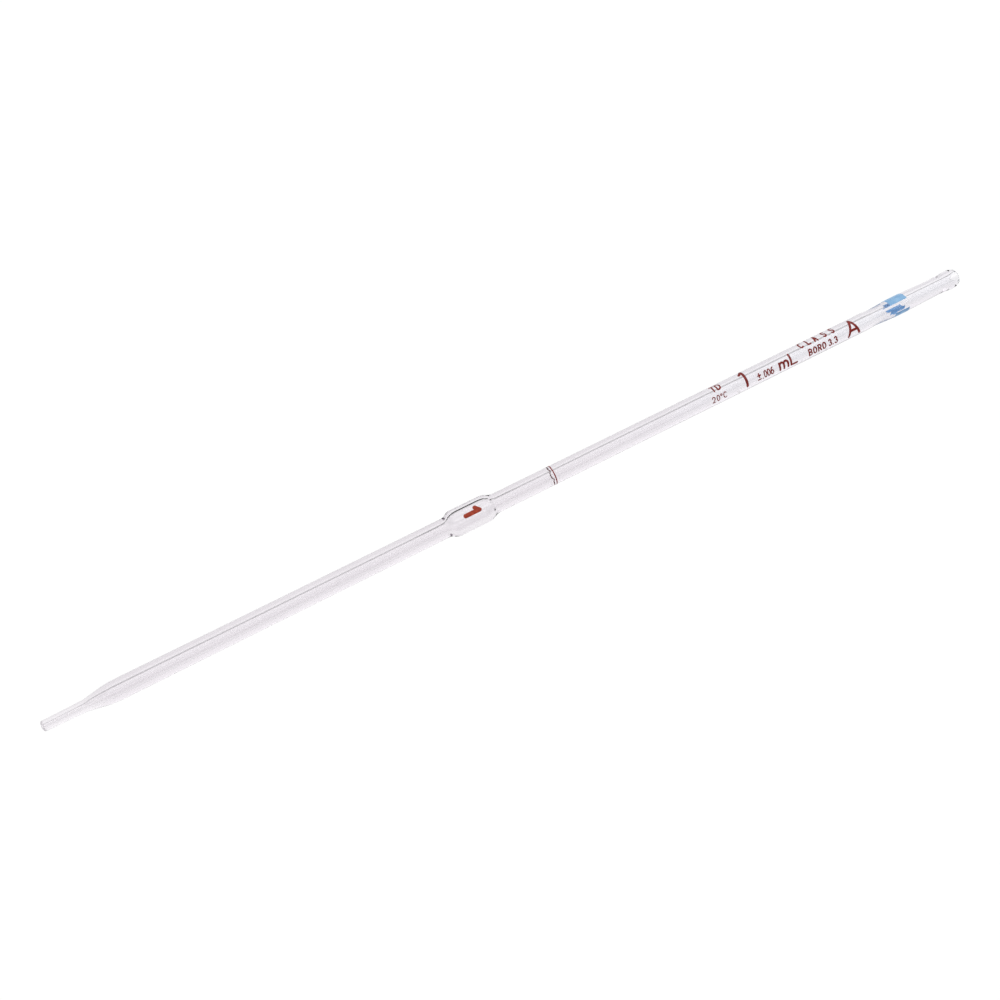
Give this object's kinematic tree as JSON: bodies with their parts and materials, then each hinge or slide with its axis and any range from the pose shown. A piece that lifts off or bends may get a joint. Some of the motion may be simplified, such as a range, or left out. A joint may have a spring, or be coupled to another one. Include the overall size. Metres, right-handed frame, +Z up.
{
  "type": "volumetric pipette",
  "caption": "Slender glass transfer pipette with a small bulb, a drawn jet, a ring mark, red-brown enamel lettering and a blue capacity band near its fire-polished mouth.",
  "frame": {"origin": "on the surface that the pipette lies on, under the middle of its length and below its axis", "axes": "+X along the tube from the jet to the mouth, +Z up, the lettering is read from above and slightly from the -Y side with its tops towards +Y"},
  "size_m": [0.325, 0.0088, 0.0089],
  "materials": {
    "borosilicate_glass": "clear, fire-polished",
    "letter_enamel": "fired-on red-brown enamel, satin",
    "digit_enamel": "fired-on brick-red enamel, satin",
    "band_enamel": "fired-on blue enamel, smooth"
  },
  "bodies": {
    "root": {"jet": "borosilicate_glass", "delivery_tube": "borosilicate_glass", "bulb": "borosilicate_glass", "suction_tube": "borosilicate_glass", "mouthpiece": "borosilicate_glass", "graduation_ring": "letter_enamel", "letter_T": "letter_enamel", "letter_D": "letter_enamel", "temperature_2": "letter_enamel", "temperature_0": "letter_enamel", "degree_sign": "letter_enamel", "letter_C": "letter_enamel", "volume_digit_1": "letter_enamel", "plus_sign": "letter_enamel", "minus_bar": "letter_enamel", "decimal_point": "letter_enamel", "tolerance_0_first": "letter_enamel", "tolerance_0_second": "letter_enamel", "tolerance_digit_6": "letter_enamel", "unit_letter_m": "letter_enamel", "unit_letter_L": "letter_enamel", "class_letter_C": "letter_enamel", "class_letter_L": "letter_enamel", "class_letter_A": "letter_enamel", "class_letter_S1": "letter_enamel", "class_letter_S2": "letter_enamel", "glass_letter_B": "letter_enamel", "glass_letter_O1": "letter_enamel", "glass_letter_R": "letter_enamel", "glass_letter_O2": "letter_enamel", "glass_digit_3_first": "letter_enamel", "glass_point": "letter_enamel", "glass_digit_3_second": "letter_enamel", "grade_letter_A": "letter_enamel", "bulb_digit_1": "digit_enamel", "band_patch_upper": "band_enamel", "band_patch_lower": "band_enamel"}
  },
  "joints": []
}
